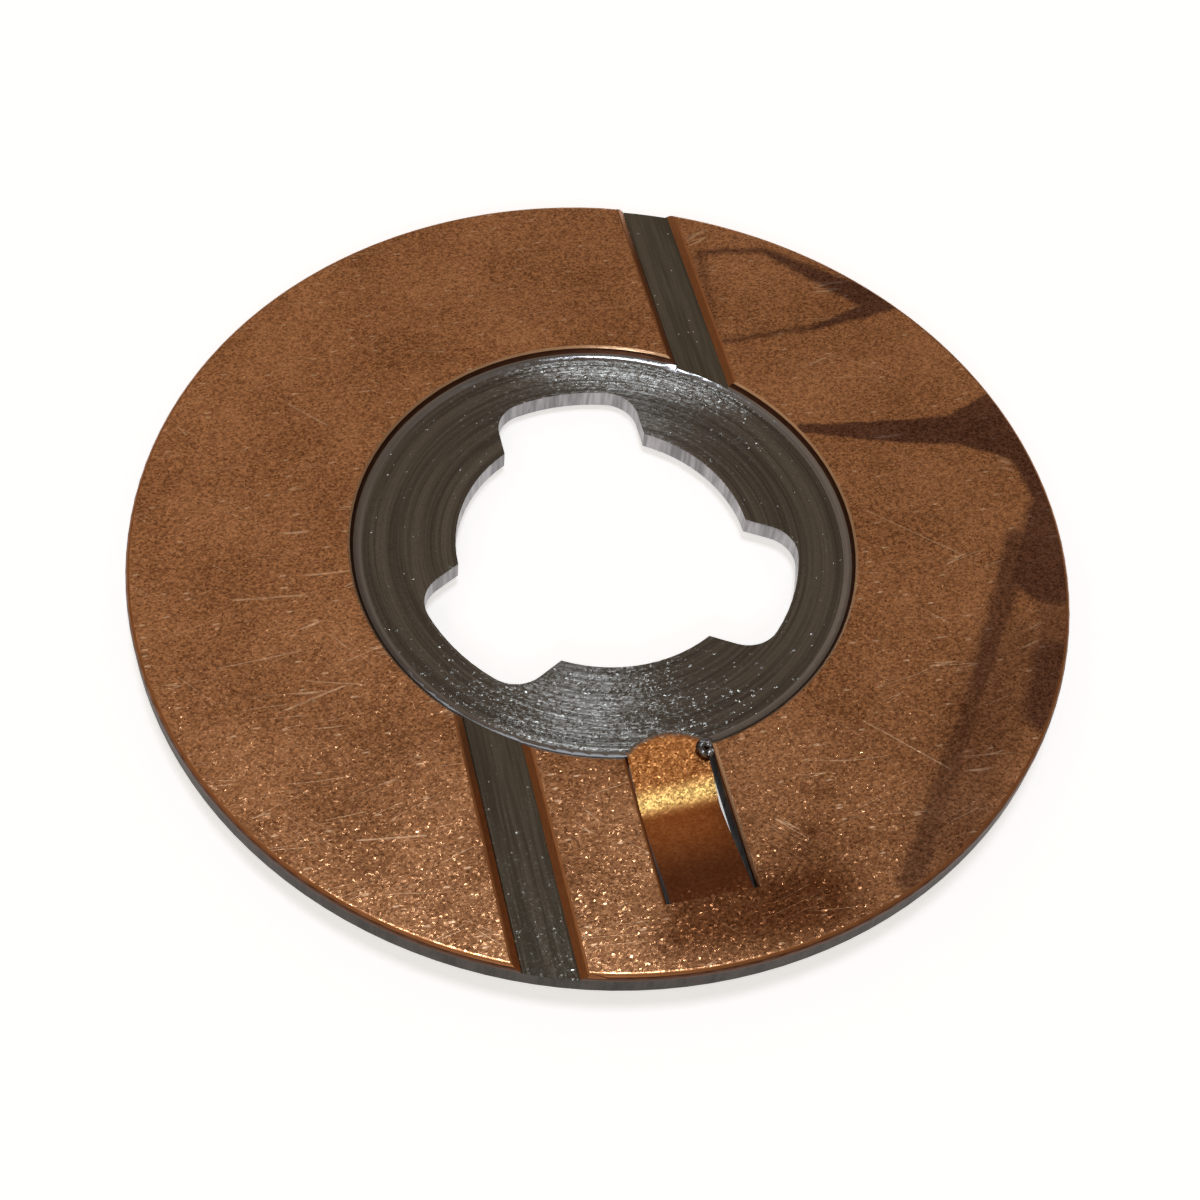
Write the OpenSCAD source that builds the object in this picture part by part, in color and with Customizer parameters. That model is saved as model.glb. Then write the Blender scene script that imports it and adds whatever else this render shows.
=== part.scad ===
// Bimetal thrust washer. A steel back carries a sintered bronze lining. Round the bore a recess is
// turned through the lining into the steel. Two straight oil grooves cross the lining on opposite
// sides of the axis, and a lanced tab stands out of the back to stop the washer from turning.
// The origin is on the washer's axis at the back face. +Z points to the bronze face, +Y to one lobe of
// the bore, and the tab lies on -Y.

/* [Washer] */
// Outside diameter
washer_d = 64; // [58:0.5:72]
// Thickness of steel and bronze together
washer_t = 2; // [1.6:0.05:2.6]
// Thickness of the bronze lining
lining_t = 0.45; // [0.35:0.05:0.5]
// Radius of the rolled edge round the bronze face
rim_r = 0.4; // [0.1:0.05:0.6]
// Chamfer round the edge of the back face
back_chamfer = 0.15; // [0.05:0.05:0.4]
// Amount by which the sharp bronze edges round the recess and along the grooves are broken
edge_break = 0.1; // [0.05:0.01:0.15]

/* [Turned recess] */
// Diameter of the recess at the bronze face
recess_d = 34.6; // [33:0.2:37]
// Depth of the recess below the bronze face
recess_depth = 0.65; // [0.6:0.05:0.9]
// Radius that the tool's nose leaves at the foot of the recess wall
tool_nose_r = 0.8; // [0.4:0.1:1.2]

/* [Bore] */
// Diameter of the bore across its lands
land_d = 20.3; // [18:0.1:22]
// Diameter of the bore across its lobes
lobe_d = 26.8; // [25:0.1:28]
// Width of each lobe
lobe_w = 10.2; // [8:0.1:12]
// Radius of the outer corners of each lobe
lobe_corner_r = 2.4; // [1:0.1:3]
// Number of lobes
lobe_count = 3; // [2:1:4]

/* [Oil grooves] */
// Distance from the washer's axis to the centre line of each groove
groove_offset = 10.6; // [8:0.1:12]
// Width of a groove's floor
groove_floor_w = 3.1; // [2:0.1:4]
// Width of a groove at the bronze face
groove_mouth_w = 4.25; // [4:0.05:5]
// Depth of a groove below the bronze face
groove_depth = 0.55; // [0.5:0.05:0.8]

/* [Locating tab] */
// Width of the tab between its slits
tab_w = 5.2; // [4:0.1:6]
// Width of each slit beside the tab
slit_gap = 0.2; // [0.1:0.05:0.4]
// Radius of the rolled bronze edge along each slit
slit_roll_r = 0.3; // [0.1:0.05:0.4]
// Distance from the axis to the inner ends of the slits
slit_start = 16.7; // [16.5:0.05:17]
// Distance from the axis to the round inner end of the tab, where its bronze feathers out in the recess
tab_nose = 15.4; // [15:0.1:15.6]
// Radius of that round end
nose_r = 3.9; // [3.2:0.1:6]
// Distance from the axis to the point where the tab's slope leaves the face
tab_start = 13.5; // [13:0.1:14]
// Amount by which the tab's +X side is drawn in, halfway along its slit
tab_waist = 0.1; // [0.05:0.05:0.5]
// Distance from the axis to the lowest line of the tab
tab_low = 20.8; // [20:0.1:22]
// Distance from the axis to the line where the tab comes back to the face
tab_end = 27.3; // [26:0.1:28]
// Depth of the tab's lowest line below the face
tab_depth = 1.5; // [1.2:0.05:1.8]
// Drop of the steep face on the inner side of the lowest line
face_drop = 0.5; // [0.4:0.05:0.8]
// Run of that steep face
face_run = 1.5; // [1.2:0.1:2]
// Radius of the bend at the top of the steep face
crest_r = 4; // [1:0.5:6]
// Radius of the bend along the lowest line
bend_r = 1.5; // [0.5:0.1:2]
// Length of the soft heel where the tab comes back to the face
heel_run = 1.1; // [0.8:0.1:1.5]
// Drop of the tab at the start of that heel
heel_drop = 0.1; // [0.05:0.01:0.2]
// Radius of the bend at the start of that heel
heel_r = 6; // [2:0.5:10]

/* [Hidden] */
$fn = 96;

washer_r = washer_d / 2;
// Direction of the tab round the washer
tab_angle = 270;
bond_z = washer_t - lining_t;
// Straight edge that is left below each rolled bronze edge
edge_land = 0.05;
rim_roll = min(rim_r, lining_t - edge_land);
slit_roll = min(slit_roll_r, lining_t - edge_land);
// Amount by which a cut runs past the faces that it opens
past = 1;
// Number of chords in each small bend
bend_steps = 9;
// Largest share of a straight stretch that one bend may take
bend_share = 0.45;

recess_r = recess_d / 2;
recess_z = washer_t - recess_depth;
nose_z = recess_z + tool_nose_r;
nose_rise = max(nose_z - washer_t, 0);
recess_floor_r = recess_r - sqrt(pow(tool_nose_r, 2) - pow(nose_rise, 2));
// Run of the cone that breaks the edge of the recess, from inside the round to the bronze face
break_run = (recess_r + edge_break - recess_floor_r + nose_z - washer_t) / 2;

land_r = land_d / 2;
lobe_r = lobe_d / 2;
corner_x = lobe_w / 2 - lobe_corner_r;
corner_y = sqrt(pow(lobe_r - lobe_corner_r, 2) - pow(corner_x, 2));

tab_points = [
    [tab_start, washer_t],
    [tab_low - face_run, washer_t - tab_depth + face_drop],
    [tab_low, washer_t - tab_depth],
    [tab_end - heel_run, washer_t - heel_drop],
    [tab_end, washer_t]
];
bend_radii = [crest_r, bend_r, heel_r];
tab_path = concat(
    [tab_points[0]],
    [for (i = [1:3]) each bend(tab_points[i - 1], tab_points[i], tab_points[i + 1], bend_radii[i - 1])],
    [tab_points[4]]
);

slit_half = (tab_end - slit_start) / 2;
waist_r = (pow(slit_half, 2) + pow(tab_waist, 2)) / (2 * tab_waist);

// Unit vector along v
function unit(v) = v / norm(v);

// Angle from one direction to another, the short way round
function turn(from, to) = (to - from + 540) % 360 - 180;

// Points of the arc of radius r that rounds the corner at q between p and s
function bend(p, q, s, r) =
    let (
        u = unit(p - q),
        v = unit(s - q),
        half = acos(u * v) / 2,
        reach = min(r / tan(half), bend_share * min(norm(p - q), norm(s - q))),
        centre = q + unit(u + v) * reach / cos(half),
        first = q + u * reach - centre,
        last = q + v * reach - centre,
        start = atan2(first[1], first[0]),
        sweep = turn(start, atan2(last[1], last[0]))
    )
    [
        for (i = [0:bend_steps])
            let (a = start + sweep * i / bend_steps)
            centre + norm(first) * [cos(a), sin(a)]
    ];

// A path of points, moved down by drop
function lowered(path, drop) = [for (p = path) p - [0, drop]];

// The same path from its last point to its first
function reversed(path) = [for (i = [len(path) - 1:-1:0]) path[i]];

// Solid of the recess, with the round that the tool's nose leaves at its foot and its broken upper edge
module recess() {
    translate([0, 0, recess_z])
        cylinder(h = recess_depth + past, r = recess_floor_r);
    translate([0, 0, nose_z])
        rotate_extrude()
            translate([recess_floor_r, 0])
                circle(tool_nose_r);
    translate([0, 0, nose_z])
        cylinder(h = recess_depth + past, r = recess_floor_r + tool_nose_r);
    translate([0, 0, nose_z - break_run])
        cylinder(
            h = washer_t + past - nose_z + break_run,
            r1 = recess_floor_r + break_run,
            r2 = recess_r + edge_break + past
        );
}

// Outline of one lobe, pointing along +Y, with its outer corners rounded
module lobe_outline() {
    translate([-lobe_w / 2, 0])
        square([lobe_w, corner_y]);
    for (side = [-1, 1])
        translate([side * corner_x, corner_y])
            circle(lobe_corner_r);
    intersection() {
        circle(lobe_r);
        polygon([[0, 0], [2 * corner_x, 2 * corner_y], [-2 * corner_x, 2 * corner_y]]);
    }
}

// Solid of the lobed bore, through the whole washer
module bore() {
    translate([0, 0, -past])
        linear_extrude(washer_t + 2 * past) {
            circle(land_r);
            for (i = [0:lobe_count - 1])
                rotate(i * 360 / lobe_count)
                    lobe_outline();
        }
}

// Solids of the two grooves, each from beside the bore out through the rim
module grooves() {
    flare = (groove_mouth_w - groove_floor_w) / (2 * groove_depth);
    break_drop = edge_break / 2;
    wall_x = groove_mouth_w / 2 - flare * break_drop;
    wall_z = groove_depth - break_drop;
    mouth_x = groove_mouth_w / 2 + edge_break;
    side = [
        [groove_floor_w / 2, 0],
        [wall_x, wall_z],
        [mouth_x, groove_depth],
        [mouth_x, groove_depth + past]
    ];
    section = concat(side, [for (p = reversed(side)) [-p[0], p[1]]]);
    for (half_turn = [0, 180])
        rotate(half_turn)
            translate([groove_offset, washer_r + past, washer_t - groove_depth])
                rotate([90, 0, 0])
                    linear_extrude(washer_r + past)
                        polygon(section);
}

// Solid of the window that the tab and its two slits fill
module window() {
    window_w = tab_w + 2 * slit_gap;
    rotate(tab_angle)
        translate([slit_start, -window_w / 2, -past])
            cube([tab_end - slit_start, window_w, washer_t + 2 * past]);
}

// Cut that rolls the bronze edge over along both slits
module slit_rolls() {
    arc = [
        for (i = [0:bend_steps])
            let (a = 90 * i / bend_steps)
            slit_roll * [1 - sin(a), cos(a) - 1]
    ];
    outside = [[-slit_gap / 2, -slit_roll], [-slit_gap / 2, past], [slit_roll, past]];
    rotate(tab_angle)
        for (side = [0, 1])
            mirror([0, side, 0])
                translate([slit_start, tab_w / 2 + slit_gap, washer_t])
                    rotate([90, 0, 90])
                        linear_extrude(tab_end - slit_start)
                            polygon(concat(arc, outside));
}

// Outline of the tab seen from above, pointing along +X, with its round inner end and drawn-in side
module tab_outline() {
    nose_centre = tab_nose + nose_r;
    difference() {
        intersection() {
            translate([tab_nose - past, -tab_w / 2])
                square([tab_end + 2 * past - tab_nose, tab_w]);
            union() {
                translate([nose_centre, 0])
                    circle(nose_r);
                translate([nose_centre, -nose_r])
                    square([tab_end + past - nose_centre, 2 * nose_r]);
            }
        }
        translate([slit_start + slit_half, tab_w / 2 - tab_waist + waist_r])
            circle(waist_r);
    }
}

// Layer of the bent tab between two depths below its upper face
module tab_layer(upper, lower) {
    section = concat(lowered(tab_path, upper), reversed(lowered(tab_path, lower)));
    rotate(tab_angle)
        intersection() {
            rotate([90, 0, 0])
                linear_extrude(tab_w + 2 * past, center = true)
                    polygon(section);
            translate([0, 0, -washer_t - tab_depth])
                linear_extrude(3 * washer_t + tab_depth)
                    tab_outline();
        }
}

// Steel back: the disc, the steel of the tab, and everything that is cut from them
module steel_back() {
    profile = [
        [0, 0],
        [washer_r - back_chamfer, 0],
        [washer_r, back_chamfer],
        [washer_r, bond_z],
        [0, bond_z]
    ];
    color([0.42, 0.41, 0.38])
        difference() {
            union() {
                difference() {
                    rotate_extrude()
                        polygon(profile);
                    window();
                }
                tab_layer(lining_t, washer_t);
            }
            tab_layer(0, lining_t);
            recess();
            bore();
            grooves();
        }
}

// Half section of the lining, with its upper edge rolled over
module lining_profile() {
    roll_x = washer_r - rim_roll;
    roll_z = lining_t - rim_roll;
    square([roll_x, lining_t]);
    square([washer_r, roll_z]);
    intersection() {
        translate([roll_x, roll_z])
            circle(rim_roll);
        translate([roll_x, roll_z])
            square(rim_roll);
    }
}

// Bronze lining: the layer on the disc and the layer on the tab
module bronze_lining() {
    color([0.50, 0.30, 0.16])
        difference() {
            union() {
                difference() {
                    translate([0, 0, bond_z])
                        rotate_extrude()
                            lining_profile();
                    window();
                    slit_rolls();
                }
                tab_layer(0, lining_t);
            }
            recess();
            grooves();
        }
}

steel_back();
bronze_lining();
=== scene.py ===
"""Studio scene of a bimetal thrust washer: steel back, sintered bronze lining, lobed bore and lanced tab.

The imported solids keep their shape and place. This script gives each surface its finish, adds the torn
burr beside the tab, and sets up the floor, the lights and the camera.
"""

from __future__ import annotations

import logging
import math
from dataclasses import dataclass, field
from enum import Enum
from typing import ClassVar

import bmesh
import bpy
from mathutils import Matrix, Quaternion, Vector, noise

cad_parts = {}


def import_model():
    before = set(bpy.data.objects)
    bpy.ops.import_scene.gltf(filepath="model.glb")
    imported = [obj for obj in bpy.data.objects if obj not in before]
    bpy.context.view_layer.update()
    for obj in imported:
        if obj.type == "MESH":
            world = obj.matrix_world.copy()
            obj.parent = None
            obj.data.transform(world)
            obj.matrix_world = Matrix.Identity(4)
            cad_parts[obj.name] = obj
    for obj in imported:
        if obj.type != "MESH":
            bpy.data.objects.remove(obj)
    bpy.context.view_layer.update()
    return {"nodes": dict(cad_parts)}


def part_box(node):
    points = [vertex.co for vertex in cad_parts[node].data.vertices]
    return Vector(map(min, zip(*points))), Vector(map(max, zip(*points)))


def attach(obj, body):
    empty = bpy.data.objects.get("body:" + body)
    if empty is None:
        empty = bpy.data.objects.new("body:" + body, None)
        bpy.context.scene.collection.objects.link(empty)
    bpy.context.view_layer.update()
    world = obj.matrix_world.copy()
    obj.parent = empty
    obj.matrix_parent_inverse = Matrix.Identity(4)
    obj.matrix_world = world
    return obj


LOG = logging.getLogger("thrust_washer")
MM = 0.001
MIDDLE = 0.5  # Middle value of a noise or a random shade

Socket = bpy.types.NodeSocket
Span = tuple[float, float]
Triple = tuple[float, float, float]
Colour = tuple[float, float, float, float]
Feed = Socket | float | tuple


class Graph:
    """A node tree with short ways to add nodes and join them."""

    def __init__(self, tree: bpy.types.NodeTree) -> None:
        """Keep the tree that the nodes go into."""
        self.tree = tree

    def add(self, kind: str, **settings: object) -> bpy.types.Node:
        """Add one node.

        Args:
            kind: Blender's name of the node type.
            settings: Properties of the node.

        Returns:
            The new node.
        """
        node = self.tree.nodes.new(kind)
        for name, value in settings.items():
            setattr(node, name, value)
        return node

    def feed(self, target: Socket, value: Feed) -> None:
        """Join a socket to an input, or set the input's own value.

        Args:
            target: The input socket.
            value: A socket to link from, or a plain value.
        """
        if isinstance(value, bpy.types.NodeSocket):
            self.tree.links.new(value, target)
        else:
            target.default_value = value

    def math(self, operation: str, first: Feed, second: Feed = 0.0, third: Feed = 0.0) -> Socket:
        """Combine numbers.

        Args:
            operation: Name of the Math node's operation.
            first: First number.
            second: Second number.
            third: Third number, where the operation takes one.

        Returns:
            The result's socket.
        """
        node = self.add("ShaderNodeMath", operation=operation)
        for target, value in zip(node.inputs, (first, second, third)):
            self.feed(target, value)
        return node.outputs[0]

    def vector(self, operation: str, first: Feed, second: Feed = (0.0, 0.0, 0.0)) -> Socket:
        """Combine vectors.

        Args:
            operation: Name of the Vector Math node's operation.
            first: First vector.
            second: Second vector.

        Returns:
            The resulting vector, or the number for an operation that gives one.
        """
        node = self.add("ShaderNodeVectorMath", operation=operation)
        self.feed(node.inputs[0], first)
        self.feed(node.inputs[1], second)
        return node.outputs["Value" if operation in ("LENGTH", "DOT_PRODUCT") else "Vector"]

    def scaled(self, vector: Feed, factor: Feed) -> Socket:
        """Multiply a vector by one number.

        Args:
            vector: The vector.
            factor: The number.

        Returns:
            The scaled vector's socket.
        """
        node = self.add("ShaderNodeVectorMath", operation="SCALE")
        self.feed(node.inputs[0], vector)
        self.feed(node.inputs["Scale"], factor)
        return node.outputs["Vector"]

    def split(self, vector: Feed) -> tuple[Socket, Socket, Socket]:
        """Take a vector apart.

        Args:
            vector: The vector.

        Returns:
            Its three parts.
        """
        node = self.add("ShaderNodeSeparateXYZ")
        self.feed(node.inputs[0], vector)
        return node.outputs[0], node.outputs[1], node.outputs[2]

    def joined(self, x: Feed, y: Feed, z: Feed) -> Socket:
        """Put a vector together.

        Args:
            x: First part.
            y: Second part.
            z: Third part.

        Returns:
            The vector's socket.
        """
        node = self.add("ShaderNodeCombineXYZ")
        for target, value in zip(node.inputs, (x, y, z)):
            self.feed(target, value)
        return node.outputs[0]

    def ramp(self, value: Feed, start: Feed, end: Feed, low: Feed = 0.0, high: Feed = 1.0) -> Socket:
        """Ease from one number to another while a value crosses a span.

        Args:
            value: The value that is read.
            start: Where the span starts.
            end: Where the span ends.
            low: Result at the start and before it.
            high: Result at the end and past it.

        Returns:
            The eased number's socket.
        """
        node = self.add("ShaderNodeMapRange", interpolation_type="SMOOTHSTEP")
        entries = {"Value": value, "From Min": start, "From Max": end, "To Min": low, "To Max": high}
        for name, entry in entries.items():
            self.feed(node.inputs[name], entry)
        return node.outputs["Result"]

    def mixed(self, share: Feed, first: Feed, second: Feed, blend: str = "MIX") -> Socket:
        """Mix two colours.

        Args:
            share: How much of the second colour shows, from 0 to 1.
            first: First colour.
            second: Second colour.
            blend: Blend mode.

        Returns:
            The mixed colour's socket.
        """
        node = self.add("ShaderNodeMix", data_type="RGBA", blend_type=blend)
        self.feed(node.inputs["Factor"], share)
        colours = [s for s in node.inputs if s.type == "RGBA"]
        self.feed(colours[0], first)
        self.feed(colours[1], second)
        return next(s for s in node.outputs if s.type == "RGBA")

    def noise(self, vector: Feed, scale: float, detail: float = 2.0, across: str = "3D") -> bpy.types.Node:
        """Add cloudy noise.

        Args:
            vector: Position to read.
            scale: Features per unit of that position.
            detail: Octaves of finer noise.
            across: Whether the noise changes in 2D, seen from above, or in 3D.

        Returns:
            The noise node.
        """
        node = self.add("ShaderNodeTexNoise", noise_dimensions=across)
        self.feed(node.inputs["Vector"], vector)
        node.inputs["Scale"].default_value = scale
        node.inputs["Detail"].default_value = detail
        return node

    def cells(self, vector: Feed, scale: Feed) -> bpy.types.Node:
        """Add random cells, seen from above.

        Args:
            vector: Position to read.
            scale: Cells per unit of that position.

        Returns:
            The Voronoi node.
        """
        node = self.add("ShaderNodeTexVoronoi", voronoi_dimensions="2D")
        self.feed(node.inputs["Vector"], vector)
        self.feed(node.inputs["Scale"], scale)
        return node


@dataclass(frozen=True)
class GroupSocket:
    """Name, type and first value of one socket of a node group."""

    name: str
    kind: str = "NodeSocketFloat"
    value: float | tuple | None = None


class SharedEffect:
    """A shader node group that several finishes place with their own values."""

    title = "effect"
    takes: tuple[GroupSocket, ...] = ()
    gives: tuple[GroupSocket, ...] = ()

    def __init__(self) -> None:
        """Build the group once."""
        self.group = bpy.data.node_groups.new(self.title, "ShaderNodeTree")
        for way, sockets in (("INPUT", self.takes), ("OUTPUT", self.gives)):
            for entry in sockets:
                made = self.group.interface.new_socket(entry.name, in_out=way, socket_type=entry.kind)
                if entry.value is not None:
                    made.default_value = entry.value
        graph = Graph(self.group)
        source = graph.add("NodeGroupInput")
        result = self.build(graph, source.outputs)
        target = graph.add("NodeGroupOutput")
        for entry, value in zip(self.gives, result):
            graph.feed(target.inputs[entry.name], value)

    def build(self, graph: Graph, inputs: bpy.types.NodeOutputs) -> tuple[Socket, ...]:
        """Make the nodes inside the group.

        Args:
            graph: The group's tree.
            inputs: The group's own inputs, by name.

        Returns:
            One socket for each output, in order.
        """
        raise NotImplementedError

    def place(self, graph: Graph, **values: Feed) -> bpy.types.NodeOutputs:
        """Put the group into a material.

        Args:
            graph: The material's tree.
            values: Inputs by name, with _ for a space.

        Returns:
            The placed group's outputs, by name.
        """
        node = graph.add("ShaderNodeGroup", node_tree=self.group)
        for name, value in values.items():
            graph.feed(node.inputs[name.replace("_", " ")], value)
        return node.outputs


class PlaceInMillimetres(SharedEffect):
    """Where a point lies on the washer: its position and its distance from the axis."""

    title = "place_in_millimetres"
    gives = (GroupSocket("Position", "NodeSocketVector"), GroupSocket("Radius"))

    def build(self, graph: Graph, inputs: bpy.types.NodeOutputs) -> tuple[Socket, ...]:
        """Read object coordinates in millimetres and work out the radius.

        Args:
            graph: The group's tree.
            inputs: The group's own inputs, not used here.

        Returns:
            The position and the radius.
        """
        coordinates = graph.add("ShaderNodeTexCoord").outputs["Object"]
        position = graph.scaled(coordinates, 1 / MM)
        return position, graph.vector("LENGTH", graph.vector("MULTIPLY", position, (1.0, 1.0, 0.0)))


class Stroke(SharedEffect):
    """A soft straight mark between two points on the face, seen from above."""

    title = "stroke"
    takes = (
        GroupSocket("Position", "NodeSocketVector"),
        GroupSocket("Start", "NodeSocketVector"),
        GroupSocket("End", "NodeSocketVector"),
        GroupSocket("Start Width"),
        GroupSocket("End Width"),
        GroupSocket("Softness", value=0.5),
        GroupSocket("Strength", value=1.0),
    )
    gives = (GroupSocket("Mask"),)

    def build(self, graph: Graph, inputs: bpy.types.NodeOutputs) -> tuple[Socket, ...]:
        """Measure the distance to the line and fade the mark out at its width.

        Args:
            graph: The group's tree.
            inputs: The group's own inputs, by name.

        Returns:
            The mark's mask.
        """
        flat = graph.vector("MULTIPLY", inputs["Position"], (1.0, 1.0, 0.0))
        along = graph.vector("SUBTRACT", inputs["End"], inputs["Start"])
        offset = graph.vector("SUBTRACT", flat, inputs["Start"])
        length = graph.vector("DOT_PRODUCT", along, along)
        share = graph.math("DIVIDE", graph.vector("DOT_PRODUCT", offset, along), length)
        share = graph.math("MINIMUM", graph.math("MAXIMUM", share, 0.0), 1.0)
        distance = graph.vector("LENGTH", graph.vector("SUBTRACT", offset, graph.scaled(along, share)))
        change = graph.math("SUBTRACT", inputs["End Width"], inputs["Start Width"])
        half = graph.math("MULTIPLY", graph.math("MULTIPLY_ADD", share, change, inputs["Start Width"]), 0.5)
        outer = graph.math("ADD", half, inputs["Softness"])
        inner = graph.math("SUBTRACT", half, inputs["Softness"])
        return (graph.ramp(distance, outer, inner, 0.0, inputs["Strength"]),)


class Streaks(SharedEffect):
    """Fine uneven lines along one direction of a stretched position."""

    title = "streaks"
    takes = (
        GroupSocket("Position", "NodeSocketVector"),
        GroupSocket("Stretch", "NodeSocketVector", (1.0, 1.0, 1.0)),
    )
    gives = (GroupSocket("Fine"), GroupSocket("Broad"))
    fine_detail: ClassVar[float] = 3.0
    broad_scale: ClassVar[float] = 0.22

    def build(self, graph: Graph, inputs: bpy.types.NodeOutputs) -> tuple[Socket, ...]:
        """Read noise from the stretched position at two scales.

        Args:
            graph: The group's tree.
            inputs: The group's own inputs, by name.

        Returns:
            The fine and the broad lines.
        """
        stretched = graph.vector("MULTIPLY", inputs["Position"], inputs["Stretch"])
        fine = graph.noise(stretched, 1.0, self.fine_detail).outputs["Fac"]
        broad = graph.noise(stretched, self.broad_scale).outputs["Fac"]
        return fine, broad


class Scratches(SharedEffect):
    """Thin random scratches that run roughly one way."""

    title = "scratches"
    takes = (
        GroupSocket("Position", "NodeSocketVector"),
        GroupSocket("Angle"),
        GroupSocket("Share", value=0.4),
        GroupSocket("Width", value=0.02),
    )
    gives = (GroupSocket("Mask"),)
    line_stretch: ClassVar[Triple] = (0.05, 1.1, 0.0)
    break_stretch: ClassVar[Triple] = (0.16, 0.7, 0.0)
    fade: ClassVar[float] = 0.06

    def build(self, graph: Graph, inputs: bpy.types.NodeOutputs) -> tuple[Socket, ...]:
        """Take thin level lines of stretched noise and break them up with a second noise.

        Args:
            graph: The group's tree.
            inputs: The group's own inputs, by name.

        Returns:
            The scratches' mask.
        """
        turn = graph.add("ShaderNodeVectorRotate", rotation_type="Z_AXIS")
        graph.feed(turn.inputs["Vector"], inputs["Position"])
        graph.feed(turn.inputs["Angle"], inputs["Angle"])
        stretched = graph.vector("MULTIPLY", turn.outputs[0], self.line_stretch)
        lines = graph.noise(stretched, 1.0, 1.0, "2D").outputs["Fac"]
        distance = graph.math("ABSOLUTE", graph.math("SUBTRACT", lines, MIDDLE))
        line = graph.ramp(distance, inputs["Width"], 0.0)
        pieces = graph.vector("MULTIPLY", turn.outputs[0], self.break_stretch)
        kept = graph.noise(pieces, 1.0, 1.0, "2D").outputs["Fac"]
        limit = graph.math("SUBTRACT", 1.0, inputs["Share"])
        return (graph.math("MULTIPLY", line, graph.ramp(kept, limit, graph.math("ADD", limit, self.fade))),)


class Specks(SharedEffect):
    """Scattered specks, such as pits, pores or bright crystals."""

    title = "specks"
    takes = (
        GroupSocket("Position", "NodeSocketVector"),
        GroupSocket("Per Millimetre", value=2.0),
        GroupSocket("Share", value=0.2),
        GroupSocket("Size", value=0.35),
    )
    gives = (GroupSocket("Mask"),)
    core: ClassVar[float] = 0.4

    def build(self, graph: Graph, inputs: bpy.types.NodeOutputs) -> tuple[Socket, ...]:
        """Keep a share of the cells and draw a dot in each.

        Args:
            graph: The group's tree.
            inputs: The group's own inputs, by name.

        Returns:
            The specks' mask.
        """
        cells = graph.cells(inputs["Position"], inputs["Per Millimetre"])
        chosen = graph.math("LESS_THAN", graph.split(cells.outputs["Color"])[0], inputs["Share"])
        core = graph.math("MULTIPLY", inputs["Size"], self.core)
        dot = graph.ramp(cells.outputs["Distance"], inputs["Size"], core)
        return (graph.math("MULTIPLY", chosen, dot),)


class PressedGrain(SharedEffect):
    """Packed grains in two sizes, each with its own shade and lean. The palest ones lean most."""

    title = "pressed_grain"
    takes = (
        GroupSocket("Position", "NodeSocketVector"),
        GroupSocket("Lean", value=0.2),
        GroupSocket("Normal", "NodeSocketVector"),
    )
    gives = (GroupSocket("Shade"), GroupSocket("Normal", "NodeSocketVector"))
    wander_scale: ClassVar[float] = 6.0
    wander_reach: ClassVar[float] = 0.18
    flattening: ClassVar[Triple] = (0.8, 1.2, 1.0)
    coarse_per_mm: ClassVar[float] = 7.5
    fine_per_mm: ClassVar[float] = 14.0
    coarse_weight: ClassVar[float] = 1.1
    fine_weight: ClassVar[float] = 0.9
    loose_power: ClassVar[float] = 3.0
    loose_gain: ClassVar[float] = 3.0
    loose_least: ClassVar[float] = 0.5

    def build(self, graph: Graph, inputs: bpy.types.NodeOutputs) -> tuple[Socket, ...]:
        """Lay two sizes of cells over each other.

        Args:
            graph: The group's tree.
            inputs: The group's own inputs, by name.

        Returns:
            The grains' shade and their leaning normals.
        """
        wander = graph.noise(inputs["Position"], self.wander_scale, 1.0, "2D").outputs["Color"]
        wandered = graph.vector("ADD", inputs["Position"], graph.scaled(wander, self.wander_reach))
        flattened = graph.vector("MULTIPLY", wandered, self.flattening)
        coarse = graph.cells(flattened, self.coarse_per_mm).outputs["Color"]
        fine = graph.cells(flattened, self.fine_per_mm).outputs["Color"]
        weighed = graph.scaled(coarse, self.coarse_weight), graph.scaled(fine, self.fine_weight)
        both = graph.vector("ADD", *weighed)
        total = graph.vector("DOT_PRODUCT", both, (0.0, 0.0, 1.0))
        shade = graph.math("MULTIPLY", total, 1 / (self.coarse_weight + self.fine_weight))
        raised = graph.math("POWER", shade, self.loose_power)
        loose = graph.math("MULTIPLY_ADD", raised, self.loose_gain, self.loose_least)
        reach = graph.math("MULTIPLY", loose, inputs["Lean"])
        lean = graph.scaled(graph.vector("SUBTRACT", both, (1.0, 1.0, 1.0)), reach)
        return shade, graph.vector("NORMALIZE", graph.vector("ADD", inputs["Normal"], lean))


@dataclass(frozen=True)
class EffectKit:
    """The shared effects, each built once."""

    place: PlaceInMillimetres = field(default_factory=PlaceInMillimetres)
    stroke: Stroke = field(default_factory=Stroke)
    streaks: Streaks = field(default_factory=Streaks)
    scratches: Scratches = field(default_factory=Scratches)
    specks: Specks = field(default_factory=Specks)
    grain: PressedGrain = field(default_factory=PressedGrain)


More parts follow.
